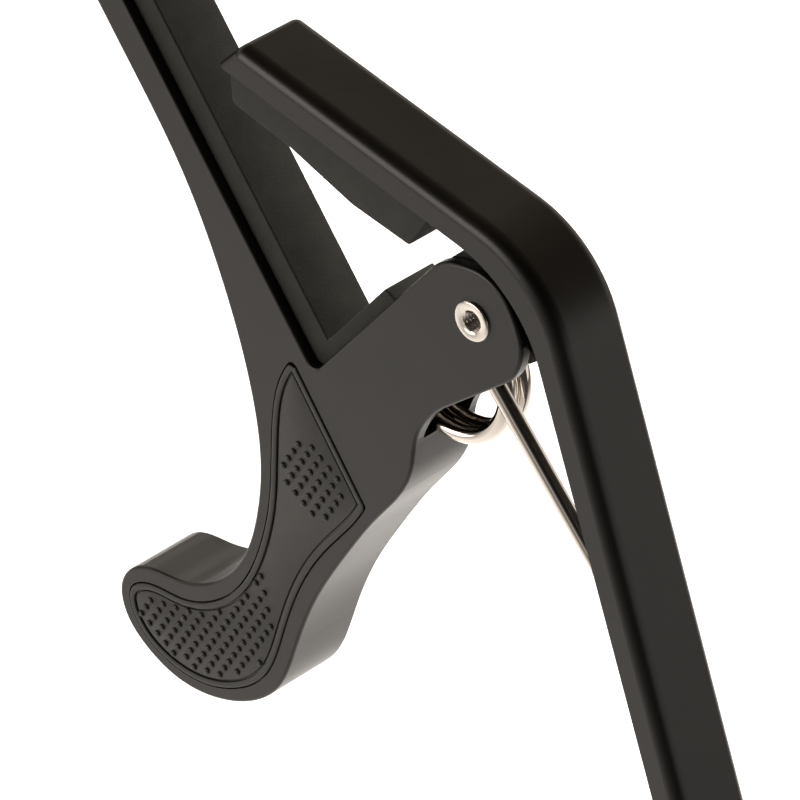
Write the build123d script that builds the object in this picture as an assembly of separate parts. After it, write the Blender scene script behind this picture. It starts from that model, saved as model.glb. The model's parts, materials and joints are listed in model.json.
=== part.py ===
from build123d import *
from math import cos, radians, sin
import os

# Spring-clamp guitar capo.
# The pivot axis runs along Y and the origin is on it, halfway through the width. The string arm is an
# L-shaped bar: one leg lies level above the strings and the other is the palm handle. The jaw lever is
# one casting: a jaw that goes behind the neck, two cheeks round the pivot, and a hooked trigger.
# Outlines are drawn in the XZ plane, seen from the front (-Y) side. All lengths are in millimetres.

# ---- driving dimensions -------------------------------------------------------------------------------
WIDTH = 14.3                 # arm, jaw and trigger, front face to back face
HALF = WIDTH / 2

ARM_THICKNESS = 5.8          # string arm, in the plane of the outline
BAR_HEIGHT = 11.0            # underside of the level bar above the pivot
HANDLE_TILT = -57.5          # direction of the handle, degrees from +X
HANDLE_REACH = 11.7          # pivot to the handle's inner face
BEND_RADIUS = 23.0           # inner and outer bend of the arm
BAR_TIP_X = -57.7            # lower corner of the bar's tip
TIP_RAKE = 3.7               # how far the tip leans back over its thickness
HANDLE_LENGTH = 100.0        # from the inner corner of the L to the handle's end
ARM_EDGE_RADIUS = 2.4        # rounded long edges of the arm's outer side
TIP_EDGE_RADIUS = 1.6        # rounded outer edge across the bar's tip

CHEEK = 2.0                  # thickness of each cheek
SLOT_HALF = HALF - CHEEK     # half of the slot between the cheeks
SLOT_START = -13.0           # end of the bridge between the cheeks, along their upper edge
JAW_TILT = 141.0             # direction of the jaw's inner face
JAW_OFFSET = 41.4            # pivot to the line of the jaw's inner face
JAW_END = 77.0               # end of the jaw, along that line
JAW_TIP_THICKNESS = 6.0
SEAT_TILT = 62.7             # direction of the cheeks' upper edge
SEAT_OFFSET = 10.3           # pivot to the line of that edge
LEVER_EDGE_RADIUS = 0.5      # softened outline edges of the casting

TONGUE_HALF = 4.8            # half the width of the arm's tongue, which stands in the slot
TONGUE_TILT = 56.0           # direction from the pivot in which the tongue joins the bend
TONGUE_UPPER, TONGUE_LOWER = 9.9, -9.6   # its two sides, from the pivot
STOP_GAP = 0.08              # between the tongue's heel and the bridge in the closed position

PAD_RECESS = 1.75            # the neck pad's sides stand this far inside the jaw's faces
NECK_PAD_THICKNESS = 4.7     # on the jaw
NECK_PAD_END = 74.0          # along the jaw
SEAT_PAD_THICKNESS = 2.6     # on the cheeks' upper edge
SEAT_PAD_END = -15.0         # along that edge
STRING_PAD_RECESS = 0.3

PIN_RADIUS = 2.5             # pivot barrel
PIN_BORE = 1.65              # its thread, taken as a plain bore
PIN_HEAD_RADIUS = 3.4
PIN_HEAD = 0.55              # how far each head stands out of its cheek
THREAD_DEPTH = 8.4           # open part of the thread, from the front head's face
THREAD_END = -HALF - PIN_HEAD + THREAD_DEPTH
SCREW_BORE = 1.3             # narrower thread behind it, which holds the screw
SCREW_GAP = 0.4              # from the open thread's end to the screw's tip
RUNNING = 0.05               # radial clearance on the pivot
BUSHING_RADIUS = 3.4
WASHER_RADIUS = 5.5
WASHER_THICKNESS = 0.3

WIRE_RADIUS = 1.45           # torsion spring
COIL = Vector(-4.4, -17.6)   # centre of its coil
COIL_RADIUS = 9.8            # to the middle of the wire
COIL_HALF = 3.55             # first and last turn, either side of the middle plane
FULL_TURNS = 2               # and the part turn from one leg to the other
NEST_RADIUS = 12.0           # rounded hollow in the lever that the coil lies in
LEG_TILT = -35.3             # direction of the leg that pushes on the handle
LEG_LENGTH = 37.3
ANCHOR_LENGTH = 17.0         # the other leg, which goes down into the trigger
ANCHOR_RADIUS = 1.43         # a hair thinner than the turns, so that the two fuse cleanly
ANCHOR_HOLE_RADIUS = 1.7
ANCHOR_HOLE_DEPTH = 18.5

SQUEEZE = 35.0               # travel of the lever, degrees

INLAY_DEPTH = 1.2            # pockets for the rubber grip inlays
INLAY_PROUD = 0.2


# ---- helpers ------------------------------------------------------------------------------------------
def direction(angle):
    return Vector(cos(radians(angle)), sin(radians(angle)))


def on_line(angle, offset, along):
    """A point of the line that runs in a direction and passes the origin at an offset to its left."""
    return direction(angle) * along + direction(angle + 90) * offset


def crossing(angle_a, offset_a, angle_b, offset_b):
    """The point where two such lines cross."""
    along = (offset_b - offset_a * cos(radians(angle_b - angle_a))) / sin(radians(angle_a - angle_b))
    return on_line(angle_a, offset_a, along)


def slab(outline, front, back):
    """A solid between two planes across the width, from an outline drawn in the XZ plane."""
    return extrude(Plane.XZ.offset(-back) * outline, back - front)


def disc(radius, front, back, centre=Vector(0, 0)):
    return slab(Pos(centre.X, centre.Y) * Circle(radius), front, back)


def tube(outer, inner, front, back):
    return disc(outer, front, back) - disc(inner, front, back)


def polygon(*points):
    return make_face(Polyline(*points, close=True))


def smooth(*points):
    """One curve through the points, as a chain of edges from each point to the next but one."""
    curve = Spline(*points)
    stops = [curve.param_at_point(Vector(*p)) for p in (*points[:-1:2], points[-1])]
    return [curve.trim(a, b) for a, b in zip(stops, stops[1:])]


def rounded(face, corner, radius):
    """The face with the vertex nearest to a corner rounded."""
    return fillet(face.vertices().sort_by_distance((corner.X, corner.Y, 0))[0], radius)


def outline_edges(solid):
    """The edges of a full-width slab that lie in its front or its back face."""
    return [e for e in solid.edges() if all(abs(abs((e @ t).Y) - HALF) < 1e-4 for t in (0, 0.5, 1))]


# ---- string arm and its pad ---------------------------------------------------------------------------
def arm_outline(thickness_from, thickness_to):
    """The bent bar between two offsets from its inner side, with its raked tip."""
    inner = crossing(0, BAR_HEIGHT + thickness_from, HANDLE_TILT, HANDLE_REACH + thickness_from)
    outer = crossing(0, BAR_HEIGHT + thickness_to, HANDLE_TILT, HANDLE_REACH + thickness_to)
    corner = crossing(0, BAR_HEIGHT, HANDLE_TILT, HANDLE_REACH)
    end = corner + direction(HANDLE_TILT) * HANDLE_LENGTH
    across = direction(HANDLE_TILT + 90)
    tip_low = Vector(BAR_TIP_X, BAR_HEIGHT + thickness_from)
    tip_high = Vector(BAR_TIP_X + TIP_RAKE, BAR_HEIGHT + thickness_to)
    bar = polygon(tip_low, inner, end + across * thickness_from, end + across * thickness_to, outer, tip_high)
    bar = rounded(bar, inner, BEND_RADIUS)
    return rounded(bar, outer, BEND_RADIUS)


def tongue_outline():
    """The lug round the pivot. It clears the coil while the lever swings, and its heel is the stop."""
    clear = COIL_RADIUS + WIRE_RADIUS + 0.5
    heel = SLOT_START + STOP_GAP
    heel_high = on_line(SEAT_TILT, 9.6, heel)
    heel_low = on_line(SEAT_TILT, 7.4, heel)
    under = COIL.normalized() * (COIL.length - clear)
    mid_under = COIL + (heel_low + under - COIL * 2).normalized() * (clear + 0.3)
    swung = under.rotate(Axis.Z, SQUEEZE + 2)
    mid_swung = under.rotate(Axis.Z, SQUEEZE / 2)
    into_arm = 1.8
    sides = Polyline(
        swung,
        crossing(HANDLE_TILT, HANDLE_REACH, TONGUE_TILT, TONGUE_LOWER),
        crossing(HANDLE_TILT, HANDLE_REACH + into_arm, TONGUE_TILT, TONGUE_LOWER),
        crossing(HANDLE_TILT, HANDLE_REACH + into_arm, 0, BAR_HEIGHT + into_arm),
        crossing(0, BAR_HEIGHT + into_arm, TONGUE_TILT, TONGUE_UPPER),
        on_line(TONGUE_TILT, TONGUE_UPPER, -1),
        on_line(SEAT_TILT, 9.9, -8.4),
        heel_high,
        heel_low)
    heel_hollow = ThreePointArc(heel_low, mid_under, under)
    hub = ThreePointArc(under, mid_swung, swung)
    return make_face([sides, heel_hollow, hub])


def string_arm():
    arm = slab(arm_outline(0, ARM_THICKNESS), -HALF, HALF)
    rim = slab(arm_outline(ARM_THICKNESS - 0.01, ARM_THICKNESS + 1), -HALF - 1, HALF + 1)
    outer_edges = [e for e in outline_edges(arm) if e.length > 2 * ARM_THICKNESS and rim.is_inside(e @ 0.5)]
    arm = fillet(outer_edges, ARM_EDGE_RADIUS)
    tip = Vector(BAR_TIP_X + TIP_RAKE, 0, BAR_HEIGHT + ARM_THICKNESS)
    tip_edge = arm.edges().filter_by(Axis.Y).sort_by_distance(tip)[0]
    arm = fillet(tip_edge, TIP_EDGE_RADIUS)
    arm += slab(tongue_outline(), -TONGUE_HALF, TONGUE_HALF)
    return arm - disc(BUSHING_RADIUS + 0.02, -HALF, HALF)


def string_pad():
    outline = polygon((-54.9, BAR_HEIGHT), (-53.4, 6.0), (-40.5, 5.7), (-26.9, 3.9), (-14.8, 4.3),
                      (-12.2, BAR_HEIGHT))
    outline = rounded(outline, Vector(-53.4, 6.0), 1.5)
    outline = rounded(outline, Vector(-14.8, 4.3), 0.8)
    return slab(outline, -HALF + STRING_PAD_RECESS, HALF - STRING_PAD_RECESS)


# ---- jaw lever, its pad and its inlays ----------------------------------------------------------------
def lever_outline():
    corner = crossing(JAW_TILT, JAW_OFFSET, SEAT_TILT, SEAT_OFFSET)
    cheek_top = on_line(SEAT_TILT, SEAT_OFFSET, -2)
    cheek_low = (8.0, -7.2)
    trigger_root = (-1.2, -18.6)
    tip_inner = on_line(JAW_TILT, JAW_OFFSET, JAW_END)
    tip_outer = on_line(JAW_TILT, JAW_OFFSET + JAW_TIP_THICKNESS, JAW_END - 1)
    nose = smooth(cheek_top, (-7.5, 6.3), (-4.4, 7.9), (-0.5, 9.0), (4.0, 8.1), (7.6, 4.9), (9.7, 1.3),
                  (10.1, -2.2), cheek_low)
    trigger = smooth(trigger_root, (-4.4, -23.8), (-5.7, -29.0), (-5.3, -34.5), (-6.4, -41.0),
                     (-10.0, -49.2), (-14.4, -60.7), (-18.2, -72.8), (-20.2, -85.0), (-22.6, -97.6),
                     (-27.1, -103.8), (-33.3, -108.3), (-42.3, -111.1), (-50.4, -110.0), (-56.3, -106.3),
                     (-58.4, -100.8), (-54.8, -94.4), (-48.3, -91.8), (-41.9, -88.3), (-36.7, -82.0),
                     (-34.0, -74.5), (-33.4, -66.0), (-34.6, -56.0), (-39.3, -43.3), (-49.3, -26.8),
                     (-61.1, -12.6), (-72.0, -3.0), tip_outer)
    face = make_face([*nose, Line(cheek_low, trigger_root), *trigger,
                      Polyline(tip_outer, tip_inner, corner, cheek_top)])
    face = rounded(face, corner, 1.6)
    face = rounded(face, tip_outer, 2.4)
    return rounded(face, tip_inner, 1.2)


def inlay_outline():
    apex, corner = (-32.2, -31.3), (-12.2, -48.3)
    hook = smooth(corner, (-13.6, -52.6), (-17.5, -61.0), (-21.0, -70.7), (-23.0, -84.0), (-25.1, -96.3),
                  (-30.6, -103.6), (-38.0, -108.0), (-46.5, -108.9), (-53.9, -105.6), (-56.2, -100.4),
                  (-53.0, -96.6), (-45.5, -94.1), (-38.6, -89.4), (-33.8, -81.9), (-31.4, -71.0),
                  (-31.3, -62.0), (-33.6, -47.5), (-34.1, -37.5), apex)
    face = make_face([Line(apex, corner), *hook])
    face = rounded(face, Vector(*apex), 1.2)
    return rounded(face, Vector(*corner), 0.9)


def slot_outline():
    """Everything above the bridge's end, and the round nest of the coil."""
    far = 45
    above = polygon(on_line(SEAT_TILT, far, SLOT_START), on_line(SEAT_TILT, far, far),
                    on_line(SEAT_TILT, -far, far), on_line(SEAT_TILT, -far, SLOT_START))
    return above + Pos(COIL.X, COIL.Y) * Circle(NEST_RADIUS)


def jaw_lever():
    lever = slab(lever_outline(), -HALF, HALF)
    lever = fillet(outline_edges(lever), LEVER_EDGE_RADIUS)
    lever -= slab(slot_outline(), -SLOT_HALF, SLOT_HALF)
    lever -= disc(PIN_RADIUS + RUNNING, -HALF, HALF)
    downwards = (Align.CENTER, Align.CENTER, Align.MAX)
    anchor_hole = Cylinder(ANCHOR_HOLE_RADIUS, ANCHOR_HOLE_DEPTH, align=downwards)
    lever -= Pos(COIL.X - COIL_RADIUS, COIL_HALF, COIL.Y) * anchor_hole
    for side in (-1, 1):
        face, floor = side * HALF, side * (HALF - INLAY_DEPTH)
        lever -= slab(inlay_outline(), min(face, floor), max(face, floor))
    return lever


def grip_inlay(side):
    floor, top = side * (HALF - INLAY_DEPTH), side * (HALF + INLAY_PROUD)
    return slab(inlay_outline(), min(floor, top), max(floor, top))


def neck_pad(lever):
    """One V-shaped liner on the jaw's inner face and on the cheeks' upper edge."""
    jaw_face, seat_face = JAW_OFFSET - NECK_PAD_THICKNESS, SEAT_OFFSET + SEAT_PAD_THICKNESS
    outline = polygon(
        crossing(JAW_TILT, jaw_face, SEAT_TILT, seat_face),
        on_line(JAW_TILT, jaw_face, NECK_PAD_END),
        on_line(JAW_TILT, JAW_OFFSET, NECK_PAD_END),
        crossing(JAW_TILT, JAW_OFFSET, SEAT_TILT, SEAT_OFFSET),
        on_line(SEAT_TILT, SEAT_OFFSET, SEAT_PAD_END),
        on_line(SEAT_TILT, seat_face, SEAT_PAD_END - 0.6))
    outline = rounded(outline, on_line(JAW_TILT, jaw_face, NECK_PAD_END), 2.0)
    return slab(outline, -HALF + PAD_RECESS, HALF - PAD_RECESS) - lever


# ---- pivot --------------------------------------------------------------------------------------------
def pivot_barrel():
    """Internally threaded barrel with a rounded head on the front cheek."""
    head = disc(PIN_HEAD_RADIUS, -HALF - PIN_HEAD, -HALF)
    head = fillet(head.edges().sort_by(Axis.Y)[0], PIN_HEAD * 0.7)
    shank = disc(PIN_RADIUS, -HALF, HALF - 0.3)
    return head + shank - disc(PIN_BORE, -HALF - PIN_HEAD, THREAD_END) - disc(SCREW_BORE, THREAD_END, HALF)


def pivot_screw():
    """The screw that closes the barrel from the rear."""
    head = disc(PIN_HEAD_RADIUS, HALF, HALF + PIN_HEAD)
    head = fillet(head.edges().sort_by(Axis.Y)[-1], PIN_HEAD * 0.6)
    screw = head + disc(SCREW_BORE - 0.02, THREAD_END + SCREW_GAP, HALF)
    slot = Pos(0, HALF + PIN_HEAD, 0) * Box(2 * PIN_HEAD_RADIUS, PIN_HEAD, 0.8)
    return screw - slot


def thrust_washer(side):
    near, far = side * TONGUE_HALF, side * (TONGUE_HALF + WASHER_THICKNESS)
    return tube(WASHER_RADIUS, PIN_RADIUS + RUNNING, min(near, far), max(near, far))


# ---- torsion spring -----------------------------------------------------------------------------------
def spring_coil():
    """The turns, with the anchor leg that goes down into the trigger."""
    first, last = LEG_TILT + 90, 180
    turns = FULL_TURNS + (last - first) / 360
    height = 2 * COIL_HALF
    outward = direction(first)
    frame = Plane(origin=(COIL.X, -COIL_HALF, COIL.Y), x_dir=(outward.X, 0, outward.Y), z_dir=(0, 1, 0))
    wire = frame * Helix(height / turns, height, COIL_RADIUS, lefthand=True)
    section = Plane(origin=wire @ 0, z_dir=wire % 0) * Circle(WIRE_RADIUS)
    coil = sweep(section, path=wire, is_frenet=True)
    into_turn = 0.5
    anchor = Cylinder(ANCHOR_RADIUS, ANCHOR_LENGTH + into_turn, align=(Align.CENTER, Align.CENTER, Align.MAX))
    return coil + Pos(COIL.X - COIL_RADIUS, COIL_HALF, COIL.Y + into_turn) * anchor


def spring_leg():
    """The straight leg, from the first turn to its rounded end on the handle."""
    start = COIL + direction(LEG_TILT + 90) * COIL_RADIUS
    run = direction(LEG_TILT)
    leg = Cylinder(WIRE_RADIUS, LEG_LENGTH - 0.1, align=(Align.CENTER, Align.CENTER, Align.MIN))
    leg = fillet(leg.edges().sort_by(Axis.Z)[-1], WIRE_RADIUS * 0.8)
    start += run * 0.1
    return Plane(origin=(start.X, -COIL_HALF, start.Y), z_dir=(run.X, 0, run.Y)) * leg


# ---- all the pieces -----------------------------------------------------------------------------------
lever = jaw_lever()
parts = {
    "string_arm": string_arm(),
    "string_pad": string_pad(),
    "pivot_bushing": tube(BUSHING_RADIUS, PIN_RADIUS + RUNNING, -TONGUE_HALF, TONGUE_HALF),
    "thrust_washer_front": thrust_washer(-1),
    "thrust_washer_rear": thrust_washer(1),
    "jaw_lever": lever,
    "neck_pad": neck_pad(lever),
    "grip_inlay_front": grip_inlay(-1),
    "grip_inlay_rear": grip_inlay(1),
    "pivot_barrel": pivot_barrel(),
    "pivot_screw": pivot_screw(),
    "spring_coil": spring_coil(),
    "spring_leg": spring_leg(),
}

os.makedirs("parts", exist_ok=True)
for name, solid in parts.items():
    export_step(solid, f"parts/{name}.step")
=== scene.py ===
import json
import math

import bmesh
import bpy
import numpy as np
from mathutils import Matrix, Vector, geometry


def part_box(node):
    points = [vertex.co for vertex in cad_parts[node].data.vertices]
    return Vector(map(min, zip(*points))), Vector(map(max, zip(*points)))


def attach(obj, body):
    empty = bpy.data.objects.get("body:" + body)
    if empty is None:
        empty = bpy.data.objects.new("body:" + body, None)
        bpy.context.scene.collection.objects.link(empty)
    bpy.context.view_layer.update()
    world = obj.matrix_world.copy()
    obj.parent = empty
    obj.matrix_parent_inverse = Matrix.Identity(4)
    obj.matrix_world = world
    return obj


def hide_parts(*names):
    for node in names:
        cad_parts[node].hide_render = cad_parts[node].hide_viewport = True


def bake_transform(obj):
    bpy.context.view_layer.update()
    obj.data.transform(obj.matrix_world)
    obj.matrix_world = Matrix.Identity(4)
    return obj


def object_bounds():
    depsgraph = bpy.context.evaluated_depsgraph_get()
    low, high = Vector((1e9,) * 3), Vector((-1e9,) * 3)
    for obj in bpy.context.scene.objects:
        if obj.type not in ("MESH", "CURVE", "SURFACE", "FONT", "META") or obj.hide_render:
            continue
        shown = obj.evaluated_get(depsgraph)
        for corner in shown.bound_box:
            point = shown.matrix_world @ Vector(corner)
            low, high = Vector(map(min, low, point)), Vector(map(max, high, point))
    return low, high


# Spring-clamp guitar capo. The pivot axis runs along Y through the origin, +Z is up and the front is -Y.
# Lengths are metres in Blender; MM turns the millimetre values below into metres.
MM = 0.001

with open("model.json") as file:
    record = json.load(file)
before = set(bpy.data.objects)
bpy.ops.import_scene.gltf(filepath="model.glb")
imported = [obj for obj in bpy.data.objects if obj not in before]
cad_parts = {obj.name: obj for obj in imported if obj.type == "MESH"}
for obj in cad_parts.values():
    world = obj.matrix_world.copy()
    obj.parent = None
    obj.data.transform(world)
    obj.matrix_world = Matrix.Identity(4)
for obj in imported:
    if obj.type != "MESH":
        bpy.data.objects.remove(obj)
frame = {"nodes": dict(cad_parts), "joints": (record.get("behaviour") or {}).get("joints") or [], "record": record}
cad_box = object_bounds()

# ---- sizes read from the frame --------------------------------------------------------------------------
JOINTS = {joint["name"]: joint for joint in frame["joints"]}
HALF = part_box("jaw_lever")[1].y                       # half the width of arm and lever
COIL_AXIS = Vector(JOINTS["spring_leg_turn"]["pos_m"])
LEG_LOW, LEG_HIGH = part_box("spring_leg")
COIL_LOW, COIL_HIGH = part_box("spring_coil")
WIRE_RADIUS = (LEG_HIGH.y - LEG_LOW.y) / 2
COIL_RADIUS = (COIL_AXIS.x - COIL_LOW.x) - WIRE_RADIUS
COIL_FRONT, COIL_BACK = COIL_LOW.y + WIRE_RADIUS, COIL_HIGH.y - WIRE_RADIUS
BARREL_LOW, BARREL_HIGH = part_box("pivot_barrel")
HEAD_RADIUS = BARREL_HIGH.x
HEAD_FACE = BARREL_LOW.y                              # front face of the pivot's head


# ---- small tools ----------------------------------------------------------------------------------------
def to_linear(hex_colour):
    """An sRGB hex value as linear RGBA."""
    channels = [int(hex_colour[i:i + 2], 16) / 255 for i in (1, 3, 5)]
    return [c / 12.92 if c <= 0.04045 else ((c + 0.055) / 1.055) ** 2.4 for c in channels] + [1.0]


def node(tree, kind, links=None, **values):
    """Adds a node. values set its properties or its input sockets, links join sockets to its inputs."""
    made = tree.nodes.new(kind)
    for name, value in values.items():
        if hasattr(made, name):
            setattr(made, name, value)
        else:
            made.inputs[name.replace("_", " ")].default_value = value
    for socket, source in (links or {}).items():
        tree.links.new(source, made.inputs[socket])
    return made


def surface(name, **sockets):
    """A new material with a Principled shader whose constant values are set on its own sockets."""
    material = bpy.data.materials.new(name)
    material.use_nodes = True
    shader = material.node_tree.nodes["Principled BSDF"]
    for socket, value in sockets.items():
        shader.inputs[socket.replace("_", " ")].default_value = value
    place = material.node_tree.nodes.new("ShaderNodeTexCoord").outputs["Object"]
    return material, material.node_tree, shader, place


def two_tones(tree, shader, factor, dark, light):
    """Base colour that wanders between two near tones."""
    ramp = node(tree, "ShaderNodeValToRGB", {"Fac": factor})
    ramp.color_ramp.elements[0].color, ramp.color_ramp.elements[1].color = to_linear(dark), to_linear(light)
    ramp.color_ramp.elements[0].position, ramp.color_ramp.elements[1].position = 0.3, 0.7
    tree.links.new(ramp.outputs["Color"], shader.inputs["Base Color"])


def rough_range(tree, shader, factor, low, high):
    spread = node(tree, "ShaderNodeMapRange", {"Value": factor}, To_Min=low, To_Max=high)
    tree.links.new(spread.outputs["Result"], shader.inputs["Roughness"])


def relief(tree, shader, heights):
    """Bump layers: (height socket, depth in metres), coarse first."""
    normal = None
    for height, depth in heights:
        bump = node(tree, "ShaderNodeBump", {"Height": height}, Distance=depth, Strength=1.0)
        if normal is not None:
            tree.links.new(normal, bump.inputs["Normal"])
        normal = bump.outputs["Normal"]
    tree.links.new(normal, shader.inputs["Normal"])


# ---- materials ------------------------------------------------------------------------------------------
def powder_coated_aluminium():
    """Cast aluminium under a sprayed and baked black powder coat: satin, with a fine even grain and faint
    slow waves where the powder flowed. It mirrors bright edges softly and turns pale at grazing angles."""
    material, tree, shader, place = surface("satin_black_powder_coat", IOR=1.47)
    slow = node(tree, "ShaderNodeTexNoise", {"Vector": place}, Scale=1 / (9 * MM), Detail=3.0)
    grain = node(tree, "ShaderNodeTexNoise", {"Vector": place}, Scale=1 / (0.32 * MM), Detail=2.0)
    specks = node(tree, "ShaderNodeTexVoronoi", {"Vector": place}, Scale=1 / (2.6 * MM))
    two_tones(tree, shader, slow.outputs["Fac"], "#161310", "#1a1714")
    rough_range(tree, shader, grain.outputs["Fac"], 0.27, 0.36)
    dust = node(tree, "ShaderNodeMapRange", {"Value": specks.outputs["Distance"]},
                From_Min=0.0, From_Max=0.06, To_Min=1.0, To_Max=0.0)
    relief(tree, shader, [(slow.outputs["Fac"], 0.02 * MM), (grain.outputs["Fac"], 0.006 * MM),
                          (dust.outputs["Result"], 0.008 * MM)])
    return material


def moulded_silicone():
    """Black silicone rubber moulded in a spark-eroded tool: matte, a little greyer than the coat, with
    pits about 0.3 mm apart."""
    material, tree, shader, place = surface("matte_black_silicone", IOR=1.41)
    shader.inputs["Sheen Weight"].default_value = 0.12
    shader.inputs["Sheen Roughness"].default_value = 0.5
    cloud = node(tree, "ShaderNodeTexNoise", {"Vector": place}, Scale=1 / (4 * MM), Detail=4.0)
    pits = node(tree, "ShaderNodeTexNoise", {"Vector": place}, Scale=1 / (0.34 * MM), Detail=3.0)
    two_tones(tree, shader, cloud.outputs["Fac"], "#2a2a26", "#33322e")
    rough_range(tree, shader, pits.outputs["Fac"], 0.62, 0.85)
    relief(tree, shader, [(pits.outputs["Fac"], 0.03 * MM)])
    return material


def moulded_rubber():
    """Black natural rubber pressed in a polished mould, slightly dusty from handling."""
    material, tree, shader, place = surface("black_grip_rubber", IOR=1.52)
    cloud = node(tree, "ShaderNodeTexNoise", {"Vector": place}, Scale=1 / (3 * MM), Detail=4.0)
    skin = node(tree, "ShaderNodeTexNoise", {"Vector": place}, Scale=1 / (0.4 * MM), Detail=3.0)
    two_tones(tree, shader, cloud.outputs["Fac"], "#1f1e1b", "#282622")
    rough_range(tree, shader, skin.outputs["Fac"], 0.38, 0.52)
    relief(tree, shader, [(skin.outputs["Fac"], 0.014 * MM)])
    return material


def nickel_plate():
    """Bright nickel over turned steel: warm white, with fine rings left by the lathe."""
    material, tree, shader, place = surface("bright_nickel_plate", Metallic=1.0)
    around = node(tree, "ShaderNodeMapping", {"Vector": place}, vector_type="POINT")
    around.inputs["Scale"].default_value = (1.0, 0.0, 1.0)
    rings = node(tree, "ShaderNodeTexWave", {"Vector": around.outputs["Vector"]}, wave_type="RINGS",
                 rings_direction="SPHERICAL", Scale=1 / (0.9 * MM), Distortion=1.2, Detail=2.0)
    cloud = node(tree, "ShaderNodeTexNoise", {"Vector": place}, Scale=1 / (0.8 * MM), Detail=3.0)
    two_tones(tree, shader, cloud.outputs["Fac"], "#e0d8cf", "#eee9e2")
    rough_range(tree, shader, cloud.outputs["Fac"], 0.12, 0.24)
    relief(tree, shader, [(rings.outputs["Fac"], 0.003 * MM)])
    return material


def drawn_spring_wire():
    """Spring steel wire, hard drawn and nickel plated: mirror bright, with faint lines along the wire.
    Its UV map runs round the wire in U and along it, in metres, in V."""
    material, tree, shader, _ = surface("bright_drawn_spring_wire", Metallic=1.0)
    along = tree.nodes.new("ShaderNodeUVMap")
    along.uv_map = "wire"
    stretched = node(tree, "ShaderNodeMapping", {"Vector": along.outputs["UV"]}, vector_type="POINT")
    stretched.inputs["Scale"].default_value = (40.0, 1 / (12 * MM), 1.0)
    lines = node(tree, "ShaderNodeTexNoise", {"Vector": stretched.outputs["Vector"]}, Scale=1.0, Detail=2.0)
    two_tones(tree, shader, lines.outputs["Fac"], "#e2d9cf", "#f1ebe4")
    rough_range(tree, shader, lines.outputs["Fac"], 0.05, 0.13)
    relief(tree, shader, [(lines.outputs["Fac"], 0.002 * MM)])
    return material


def turned_brass():
    """Free-cutting brass, turned: yellow, with a fine feed mark round the axis."""
    material, tree, shader, place = surface("turned_brass", Metallic=1.0)
    feed = node(tree, "ShaderNodeTexWave", {"Vector": place}, bands_direction="Y", Scale=1 / (1.2 * MM),
                Distortion=0.4, Detail=1.0)
    cloud = node(tree, "ShaderNodeTexNoise", {"Vector": place}, Scale=1 / (2 * MM), Detail=3.0)
    two_tones(tree, shader, cloud.outputs["Fac"], "#a98a4e", "#c2a262")
    rough_range(tree, shader, cloud.outputs["Fac"], 0.25, 0.4)
    relief(tree, shader, [(feed.outputs["Fac"], 0.004 * MM)])
    return material


def stamped_nylon():
    """Natural nylon sheet, stamped: milky and slightly see-through, with a calendered grain."""
    material, tree, shader, place = surface("natural_nylon_sheet", IOR=1.53)
    shader.inputs["Subsurface Weight"].default_value = 0.2
    shader.inputs["Subsurface Scale"].default_value = 0.5 * MM
    grain = node(tree, "ShaderNodeTexNoise", {"Vector": place}, Scale=1 / (0.5 * MM), Detail=3.0)
    two_tones(tree, shader, grain.outputs["Fac"], "#cfccc2", "#dedbd2")
    rough_range(tree, shader, grain.outputs["Fac"], 0.4, 0.55)
    relief(tree, shader, [(grain.outputs["Fac"], 0.006 * MM)])
    return material


FINISH = {
    "black_metal": powder_coated_aluminium(),
    "black_silicone": moulded_silicone(),
    "black_rubber": moulded_rubber(),
    "nickel_plate": nickel_plate(),
    "spring_steel": drawn_spring_wire(),
    "bushing_brass": turned_brass(),
    "washer_plastic": stamped_nylon(),
}


# ---- mesh tools -----------------------------------------------------------------------------------------
def piece_from(bm, name, slot, sharp_angle=35):
    """A finished piece from a bmesh: its faces shaded smooth, with creases kept where they are sharp."""
    limit = math.radians(sharp_angle)
    for edge in bm.edges:
        edge.smooth = len(edge.link_faces) == 2 and edge.calc_face_angle(0.0) < limit
    for face in bm.faces:
        face.smooth = True
    mesh = bpy.data.meshes.new(name)
    bm.to_mesh(mesh)
    bm.free()
    piece = bpy.data.objects.new(name, mesh)
    bpy.context.scene.collection.objects.link(piece)
    mesh.materials.append(FINISH[slot])
    return piece


def merged_copy(cad_node):
    """A bmesh of a CAD node with its loose triangles joined and its flat faces made whole."""
    bm = bmesh.new()
    bm.from_mesh(frame["nodes"][cad_node].data)
    bmesh.ops.remove_doubles(bm, verts=bm.verts, dist=0.002 * MM)
    return bm


def face_outline(cad_node, side):
    """The outline of a node's flat front (-1) or back (+1) face, as (x, z) points in order."""
    bm = merged_copy(cad_node)
    level = max(v.co.y * side for v in bm.verts)
    flat = {f for f in bm.faces if all(abs(v.co.y * side - level) < 1e-6 for v in f.verts)}
    rim = [e for e in bm.edges if sum(f in flat for f in e.link_faces) == 1]
    after = {}
    for edge in rim:
        for a, b in (edge.verts, reversed(edge.verts)):
            after.setdefault(a, []).append(b)
    start = rim[0].verts[0]
    loop, last, here = [start], None, start
    while True:
        step = next(v for v in after[here] if v is not last)
        if step is start:
            break
        loop.append(step)
        last, here = here, step
    points = np.array([(v.co.x, v.co.z) for v in loop])
    bm.free()
    area = np.sum(points[:, 0] * np.roll(points[:, 1], -1) - np.roll(points[:, 0], -1) * points[:, 1])
    return points if area > 0 else points[::-1]


def evenly_spaced(points, spacing):
    """A closed outline with points at an even spacing."""
    closed = np.vstack([points, points[:1]])
    lengths = np.concatenate([[0], np.cumsum(np.linalg.norm(np.diff(closed, axis=0), axis=1))])
    stops = np.linspace(0, lengths[-1], int(lengths[-1] / spacing), endpoint=False)
    return np.column_stack([np.interp(stops, lengths, closed[:, k]) for k in (0, 1)])


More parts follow.
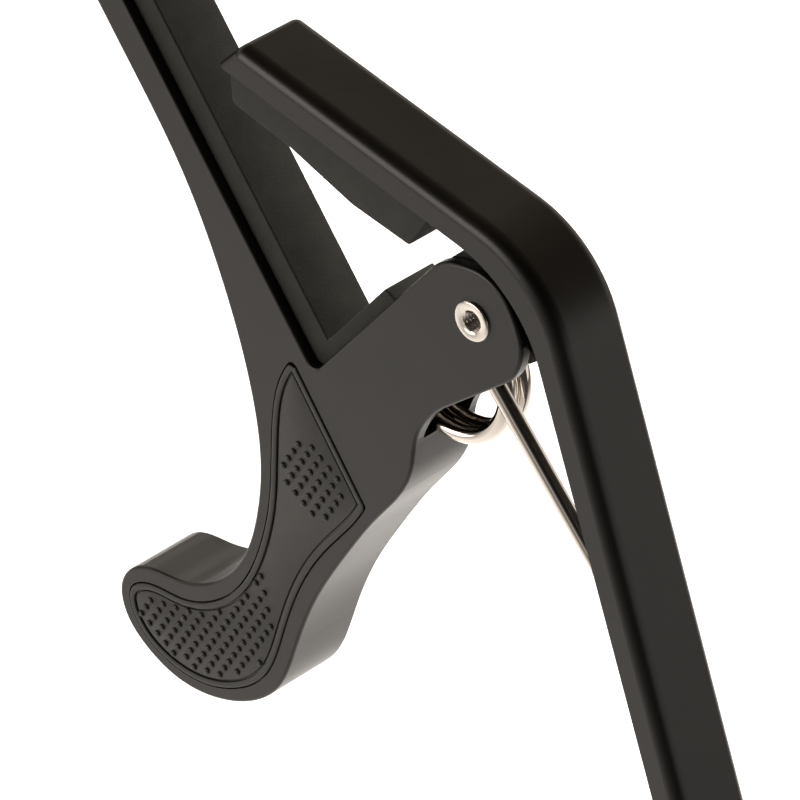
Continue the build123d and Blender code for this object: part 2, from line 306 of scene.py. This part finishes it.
def distance_to(points, outline):
    """The shortest distance from each point to the line of a closed outline."""
    a, b = outline[None], np.roll(outline, -1, axis=0)[None]
    along = b - a
    share = np.clip(((points[:, None] - a) * along).sum(2) / (along ** 2).sum(2), 0, 1)
    return np.linalg.norm(points[:, None] - a - share[..., None] * along, axis=2).min(1)


def inset(outline, amount):
    """The outline moved inwards, without the loops that sharp corners would leave."""
    if amount == 0:
        return outline
    ahead = np.roll(outline, -1, axis=0) - np.roll(outline, 1, axis=0)
    inward = np.column_stack([-ahead[:, 1], ahead[:, 0]]) / np.linalg.norm(ahead, axis=1)[:, None]
    moved = outline + inward * amount
    return moved[distance_to(moved, outline) > amount * 0.995]


def inside(points, outline):
    """Which points lie inside a closed outline."""
    x, z = points[:, 0][:, None], points[:, 1][:, None]
    x1, z1 = outline[:, 0][None], outline[:, 1][None]
    x2, z2 = np.roll(outline[:, 0], -1)[None], np.roll(outline[:, 1], -1)[None]
    crossed = ((z1 > z) != (z2 > z)) & (x < (x2 - x1) * (z - z1) / (z2 - z1 + 1e-30) + x1)
    return crossed.sum(1) % 2 == 1


# ---- grip inlays: a raised rim, a lower field and moulded grip dots --------------------------------------
GAP = 0.24 * MM            # between the rubber and the wall of its pocket
OUTLINE_STEP = 0.3 * MM    # between the outline's points
FIELD_INSET = 1.62         # from the inlay's edge to the field inside the rim's groove, mm
FIELD_DROP = 0.13 * MM     # from the rim's top to that field
DOT_PITCH = 2.17 * MM
DOT_TILT = -19             # direction of the dot rows, degrees
DOT_RADIUS = 0.62 * MM
DOT_HEIGHT = 0.44 * MM
DOT_CLEARANCE = 0.4         # of a dot's radius, from its centre to the field's edge
THUMB_PATCH = (-23.6 * MM, -51.1 * MM)   # centre of the upper patch, six by six dots without its corners
HOOK_PATCH = (-29.9 * MM, -77.1 * MM)    # first dot of the lower patch
HOOK_EDGE = (4.0, -7.8)                  # direction of the lower patch's upper edge


def inlay_body(side):
    """The rubber inlay on one face of the lever, with the outline and the level of the field for its dots.
    The steps are (inset, height above the rim's top) in millimetres: rim, groove and field."""
    cad_node = "grip_inlay_front" if side < 0 else "grip_inlay_rear"
    low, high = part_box(cad_node)
    top, floor = (low.y, high.y) if side < 0 else (high.y, low.y)
    outline = evenly_spaced(face_outline(cad_node, side), OUTLINE_STEP)
    steps = [(0.0, -0.22), (0.05, -0.10), (0.14, -0.03), (0.26, 0.0), (0.96, 0.0), (1.06, -0.04),
             (1.12, -0.16), (1.16, -0.45), (1.40, -0.45), (1.44, -0.27), (1.50, -0.17), (FIELD_INSET, -0.13)]
    flat, rings, level_of = [], [], []
    for amount, height in steps:
        loop = inset(outline, GAP + amount * MM)
        rings.append(list(range(len(flat), len(flat) + len(loop))))
        flat += [Vector(p) for p in loop]
        level_of += [height * MM] * len(loop)
    edges = [(a, b) for ring in rings for a, b in zip(ring, ring[1:] + ring[:1])]
    made = geometry.delaunay_2d_cdt(flat, edges, [rings[0]], 1, 1e-9)
    bm = bmesh.new()
    verts = []
    for point, sources in zip(made[0], made[3]):
        height = level_of[sources[0]] if sources else 0.0
        verts.append(bm.verts.new((point.x, top + side * height, point.y)))
    for face in made[2]:
        bm.faces.new([verts[i] for i in face])
    rim = [verts[i] for i, s in enumerate(made[3]) if s and min(s) < len(rings[0])]
    bm.verts.index_update()
    order = sorted(rim, key=lambda v: min(made[3][v.index]))
    base = [bm.verts.new((v.co.x, floor, v.co.z)) for v in order]
    count = len(order)
    for i in range(count):
        j = (i + 1) % count
        bm.faces.new((order[i], order[j], base[j], base[i]))
    bm.faces.new(base)
    bmesh.ops.recalc_face_normals(bm, faces=bm.faces)
    field = inset(outline, GAP + FIELD_INSET * MM)
    return bm, field, top - side * FIELD_DROP


def dot_places(field):
    """Where the grip dots stand, as (x, z): a rounded square under the thumb and the filled hook."""
    tilt = math.radians(DOT_TILT)
    across = np.array([math.cos(tilt), math.sin(tilt)]) * DOT_PITCH
    up = np.array([-math.sin(tilt), math.cos(tilt)]) * DOT_PITCH
    thumb = [np.array(THUMB_PATCH) + (i - 2.5) * across + (j - 2.5) * up
             for i in range(6) for j in range(6) if not (i in (0, 5) and j in (0, 5))]
    hook = [np.array(HOOK_PATCH) + i * across + j * up for i in range(-20, 12) for j in range(-20, 12)]
    edge = np.array(HOOK_EDGE) / np.linalg.norm(HOOK_EDGE)
    hook = [p for p in hook
            if (p - HOOK_PATCH) @ (-edge[1], edge[0]) < 0.3 * DOT_PITCH and p[1] < HOOK_PATCH[1] + 0.2 * MM]
    thumb, hook = np.array(thumb), np.array(hook)
    hook = hook[inside(hook, field)]
    return np.vstack([thumb, hook[distance_to(hook, field) > DOT_RADIUS * DOT_CLEARANCE]])


def dot_tree():
    """Geometry nodes that set a low dome on every point."""
    tree = bpy.data.node_groups.new("grip_dots", "GeometryNodeTree")
    face = tree.interface
    face.new_socket("Geometry", in_out="INPUT", socket_type="NodeSocketGeometry")
    for name in ("Dot radius", "Dot height"):
        face.new_socket(name, in_out="INPUT", socket_type="NodeSocketFloat")
    face.new_socket("Finish", in_out="INPUT", socket_type="NodeSocketMaterial")
    face.new_socket("Geometry", in_out="OUTPUT", socket_type="NodeSocketGeometry")
    start, end = node(tree, "NodeGroupInput"), node(tree, "NodeGroupOutput")
    dome = node(tree, "GeometryNodeMeshUVSphere", Segments=12, Rings=8, Radius=1.0)
    radius, height = start.outputs["Dot radius"], start.outputs["Dot height"]
    size = node(tree, "ShaderNodeCombineXYZ", {"X": radius, "Y": height, "Z": radius})
    shaped = node(tree, "GeometryNodeTransform",
                  {"Geometry": dome.outputs["Mesh"], "Scale": size.outputs[0]})
    smooth = node(tree, "GeometryNodeSetShadeSmooth", {"Geometry": shaped.outputs[0]})
    placed = node(tree, "GeometryNodeInstanceOnPoints",
                  {"Points": start.outputs[0], "Instance": smooth.outputs[0]})
    real = node(tree, "GeometryNodeRealizeInstances", {"Geometry": placed.outputs[0]})
    done = node(tree, "GeometryNodeSetMaterial",
                {"Geometry": real.outputs[0], "Material": start.outputs["Finish"]})
    tree.links.new(done.outputs[0], end.inputs[0])
    return tree


def grown(name, mesh, tree, inputs):
    """Runs a geometry-nodes tree on a mesh and keeps the result as a plain piece."""
    carrier = bpy.data.objects.new(name + "_seed", mesh)
    bpy.context.scene.collection.objects.link(carrier)
    modifier = carrier.modifiers.new("grow", "NODES")
    modifier.node_group = tree
    named = {item.name: item.identifier for item in tree.interface.items_tree if item.in_out == "INPUT"}
    for key, value in inputs.items():
        modifier[named[key]] = value
    evaluated = carrier.evaluated_get(bpy.context.evaluated_depsgraph_get())
    result = bpy.data.meshes.new_from_object(evaluated)
    bpy.data.objects.remove(carrier)
    result.name = name
    piece = bpy.data.objects.new(name, result)
    bpy.context.scene.collection.objects.link(piece)
    return piece


def grip_inlays():
    tree = dot_tree()
    for side, where in ((-1, "front"), (1, "rear")):
        bm, field, level = inlay_body(side)
        inlay = piece_from(bm, f"grip_inlay_with_rim_{where}", "black_rubber", 50)
        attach(inlay, "lever")
        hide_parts(f"grip_inlay_{where}")
        seeds = bpy.data.meshes.new("dot_points")
        seeds.from_pydata([(x, level, z) for x, z in dot_places(field)], [], [])
        dots = grown(f"grip_dots_{where}", seeds, tree,
                     {"Dot radius": DOT_RADIUS, "Dot height": DOT_HEIGHT, "Finish": FINISH["black_rubber"]})
        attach(dots, "lever")


# ---- pads -----------------------------------------------------------------------------------------------
PAD_EDGE = 0.35 * MM       # rounding of the moulded edges


def soft_pad(cad_node, name, body):
    """A moulded pad: the CAD outline with rounded edges."""
    bm = merged_copy(cad_node)
    bmesh.ops.dissolve_limit(bm, angle_limit=math.radians(1.0), verts=bm.verts, edges=bm.edges)
    hard = [e for e in bm.edges if e.calc_face_angle(0.0) > math.radians(25)]
    bmesh.ops.bevel(bm, geom=hard, offset=PAD_EDGE, segments=3, profile=0.6, affect="EDGES",
                    clamp_overlap=True)
    bmesh.ops.triangulate(bm, faces=[f for f in bm.faces if len(f.verts) > 4])
    piece = piece_from(bm, name, "black_silicone", 40)
    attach(piece, body)
    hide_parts(cad_node)


# ---- pivot: rounded head and an open, threaded bore ------------------------------------------------------
SHANK_RADIUS = 2.5 * MM
THREAD_CREST = 1.65 * MM
THREAD_ROOT = 2.0 * MM
THREAD_PITCH = 0.7 * MM
THREAD_LENGTH = 7.7 * MM
THREAD_START = 0.12 * MM   # from the head's face
PER_TURN = 10              # rings in each turn of the thread
HEAD_ROUND = 0.36 * MM
AROUND = 64                # points round the head


def pivot_head():
    """The barrel's flanged head and its bore: the bore's wall carries a helical thread."""
    bm = bmesh.new()
    cheek = -HALF
    profile = [(SHANK_RADIUS, BARREL_HIGH.y), (SHANK_RADIUS, cheek), (HEAD_RADIUS, cheek)]
    for k in range(7):
        turn = math.radians(15 * k)
        profile.append((HEAD_RADIUS - HEAD_ROUND * (1 - math.cos(turn)),
                        HEAD_FACE + HEAD_ROUND * (1 - math.sin(turn))))
    profile += [(THREAD_ROOT + 0.22 * MM, HEAD_FACE), (THREAD_ROOT + 0.08 * MM, HEAD_FACE + 0.06 * MM)]
    rings = [[bm.verts.new((r * math.cos(t), y, r * math.sin(t)))
              for t in np.linspace(0, 2 * math.pi, AROUND, endpoint=False)] for r, y in profile]
    steps = int(THREAD_LENGTH / THREAD_PITCH * PER_TURN)
    for k in range(steps + 1):
        y = HEAD_FACE + THREAD_START + k * THREAD_PITCH / PER_TURN
        ring = []
        for t in np.linspace(0, 2 * math.pi, AROUND, endpoint=False):
            wave = (y / THREAD_PITCH - t / (2 * math.pi)) % 1.0
            depth = min(1.0, max(0.0, 2.4 * abs(wave - 0.5) - 0.1))
            r = THREAD_CREST + (THREAD_ROOT - THREAD_CREST) * depth
            ring.append(bm.verts.new((r * math.cos(t), y, r * math.sin(t))))
        rings.append(ring)
    for a, b in zip(rings, rings[1:]):
        for i in range(AROUND):
            j = (i + 1) % AROUND
            bm.faces.new((a[i], a[j], b[j], b[i]))
    bm.faces.new(rings[0])
    bm.faces.new(rings[-1])
    bmesh.ops.recalc_face_normals(bm, faces=bm.faces)
    head = piece_from(bm, "pivot_barrel_threaded", "nickel_plate", 38)
    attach(head, "lever")
    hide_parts("pivot_barrel")


# ---- torsion spring: one piece of wire, wound between the anchor leg and the pushing leg -----------------
LEG_TILT = -35.3           # direction of the pushing leg, degrees
ANCHOR_DEPTH = COIL_AXIS.z - COIL_LOW.z
FULL_TURNS = 2
STEP = 0.5 * MM            # between the wire's rings
WIRE_POINTS = 24           # points round the wire
CUT_END = 0.82             # the wire's cut ends, broken to this share of its radius
LEAN = 0.04                # how much the turns crowd together towards the ends of the coil


def wire_path():
    """Points along the wire: the pushing leg, the turns and the anchor leg that goes into the trigger."""
    tilt = math.radians(LEG_TILT)
    run = Vector((math.cos(tilt), 0, math.sin(tilt)))
    out = Vector((-math.sin(tilt), 0, math.cos(tilt)))
    start = Vector((COIL_AXIS.x, COIL_FRONT, COIL_AXIS.z)) + out * COIL_RADIUS
    reach = (LEG_HIGH.x - start.x - WIRE_RADIUS * abs(run.z)) / run.x
    leg = [start + run * (reach - k * STEP) for k in range(int(reach / STEP))]
    first, last = LEG_TILT + 90, 180 + 360 * FULL_TURNS
    sweep = math.radians(last - first)
    count = int(COIL_RADIUS * sweep / STEP)
    turns = []
    for k in range(count + 1):
        share = k / count
        angle = math.radians(first) + sweep * share
        rise = share - LEAN * math.sin(2 * math.pi * share)
        turns.append(Vector((COIL_AXIS.x + COIL_RADIUS * math.cos(angle),
                             COIL_FRONT + (COIL_BACK - COIL_FRONT) * rise,
                             COIL_AXIS.z + COIL_RADIUS * math.sin(angle))))
    foot = Vector((COIL_AXIS.x - COIL_RADIUS, COIL_BACK, COIL_AXIS.z))
    anchor = [foot - Vector((0, 0, k * STEP)) for k in range(1, int(ANCHOR_DEPTH / STEP) + 1)]
    return leg + turns + anchor


def torsion_spring():
    path = wire_path()
    bm = bmesh.new()
    uv = bm.loops.layers.uv.new("wire")
    last = len(path) - 1
    tangents = [(path[min(i + 1, last)] - path[max(i - 1, 0)]).normalized() for i in range(len(path))]
    side = Vector((0, 1, 0))
    rings, lengths, length = [], [], 0.0
    for i, (point, tangent) in enumerate(zip(path, tangents)):
        side = (side - tangent * side.dot(tangent)).normalized()
        up = tangent.cross(side)
        radius = WIRE_RADIUS * (CUT_END if i in (0, last) else 1.0)
        if i:
            length += (point - path[i - 1]).length
        lengths.append(length)
        rings.append([bm.verts.new(point + (side * math.cos(t) + up * math.sin(t)) * radius)
                      for t in np.linspace(0, 2 * math.pi, WIRE_POINTS, endpoint=False)])
    for k in range(last):
        for i in range(WIRE_POINTS):
            j = (i + 1) % WIRE_POINTS
            face = bm.faces.new((rings[k][i], rings[k][j], rings[k + 1][j], rings[k + 1][i]))
            corners = ((i, k), (i + 1, k), (i + 1, k + 1), (i, k + 1))
            for loop, (u, v) in zip(face.loops, corners):
                loop[uv].uv = (u / WIRE_POINTS, lengths[v])
    bm.faces.new(rings[0])
    bm.faces.new(rings[-1])
    bmesh.ops.recalc_face_normals(bm, faces=bm.faces)
    spring = piece_from(bm, "torsion_spring", "spring_steel", 50)
    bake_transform(spring)
    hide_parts("spring_coil", "spring_leg")


# ---- CAD nodes that show as they are ---------------------------------------------------------------------
def finish_cad_nodes():
    slot_of = {part["node"]: part["material_slot"] for part in frame["record"]["subparts"]}
    for name, cad in frame["nodes"].items():
        cad.data.materials.clear()
        cad.data.materials.append(FINISH[slot_of[name]])


# ---- stage ----------------------------------------------------------------------------------------------
DARK_SIDE = (0.67, -0.73, 0.12)  # direction of the dark part of the room
FLOOR_DROP = 0.5           # the floor lies well below the capo, so that it throws no near shadow
VIEW_AZIMUTH, VIEW_ELEVATION, VIEW_ROLL = 35.957, 41.208, -12.086
VIEW_AIM = Vector((-15.35 * MM, 0.0, -31.49 * MM))
VIEW_DISTANCE = 904.05 * MM
VIEW_LENS = 261.0


def camera():
    made = bpy.data.objects.new("camera", bpy.data.cameras.new("camera"))
    bpy.context.scene.collection.objects.link(made)
    azimuth, elevation = math.radians(VIEW_AZIMUTH), math.radians(VIEW_ELEVATION)
    back = Vector((math.sin(azimuth) * math.cos(elevation), -math.cos(azimuth) * math.cos(elevation),
                   math.sin(elevation)))
    made.rotation_mode = "QUATERNION"
    level = (-back).to_track_quat("-Z", "Y")
    made.rotation_quaternion = Matrix.Rotation(math.radians(-VIEW_ROLL), 3, back).to_quaternion() @ level
    made.location = VIEW_AIM + back * VIEW_DISTANCE
    made.data.lens = VIEW_LENS
    made.data.sensor_width = 36.0
    made.data.clip_start, made.data.clip_end = 0.01, 100.0
    bpy.context.scene.camera = made


def floor():
    bm = bmesh.new()
    bmesh.ops.create_circle(bm, cap_ends=True, segments=96, radius=30.0)
    mesh = bpy.data.meshes.new("pale_floor")
    bm.to_mesh(mesh)
    bm.free()
    made = bpy.data.objects.new("pale_floor", mesh)
    bpy.context.scene.collection.objects.link(made)
    made.location.z = cad_box[0].z - FLOOR_DROP
    material, tree, shader, _ = surface("pale_paper", Roughness=1.0, Base_Color=to_linear("#f4f4f4"))
    mesh.materials.append(material)


def softbox(name, direction, distance, size, power, colour):
    """A square area light that faces the capo."""
    light = bpy.data.lights.new(name, "AREA")
    light.size, light.energy, light.color = size, power, to_linear(colour)[:3]
    made = bpy.data.objects.new(name, light)
    bpy.context.scene.collection.objects.link(made)
    centre = (cad_box[0] + cad_box[1]) / 2
    made.location = centre + Vector(direction).normalized() * distance
    made.rotation_mode = "QUATERNION"
    made.rotation_quaternion = (centre - made.location).to_track_quat("-Z", "Y")
    return made


def surroundings():
    """A studio with a pale backdrop low down all round, dim overhead and dark at the front on the right."""
    world = bpy.data.worlds.new("studio")
    bpy.context.scene.world = world
    world.use_nodes = True
    tree = world.node_tree
    back = tree.nodes["Background"]
    way = tree.nodes.new("ShaderNodeTexCoord").outputs["Generated"]
    height = node(tree, "ShaderNodeSeparateXYZ", {"Vector": way}).outputs["Z"]
    ramp = node(tree, "ShaderNodeValToRGB", {"Fac": node(tree, "ShaderNodeMapRange", {"Value": height},
                                                         From_Min=-1.0, From_Max=1.0).outputs["Result"]})
    low, high = ramp.color_ramp.elements
    low.color, low.position = to_linear("#fff8f0"), 0.58
    high.color, high.position = to_linear("#4c4744"), 0.74
    ramp.color_ramp.elements.new(0.91).color = to_linear("#0e0d0c")
    towards = node(tree, "ShaderNodeVectorMath", {0: way}, operation="DOT_PRODUCT")
    towards.inputs[1].default_value = DARK_SIDE
    shade = node(tree, "ShaderNodeMapRange", {"Value": towards.outputs["Value"]}, From_Min=0.62,
                 From_Max=0.95, To_Min=1.0, To_Max=0.05, interpolation_type="SMOOTHSTEP")
    tree.links.new(ramp.outputs["Color"], back.inputs["Color"])
    tree.links.new(shade.outputs["Result"], back.inputs["Strength"])


# ---- the scene ------------------------------------------------------------------------------------------
finish_cad_nodes()
grip_inlays()
soft_pad("string_pad", "string_pad_moulded", "arm")
soft_pad("neck_pad", "neck_pad_moulded", "lever")
pivot_head()
torsion_spring()
camera()
floor()
surroundings()
softbox("key_softbox", (-0.50, -0.86, 0.0), 0.9, 0.5, 2.4, "#fff6ec")
floor_light = softbox("floor_light", (-0.65, 1.2, 0.9), 1.6, 1.0, 76.0, "#fff9f2")
floor_light.visible_glossy = False   # it only brightens the floor and isn't mirrored in the capo
bpy.context.scene.view_settings.view_transform = "Standard"
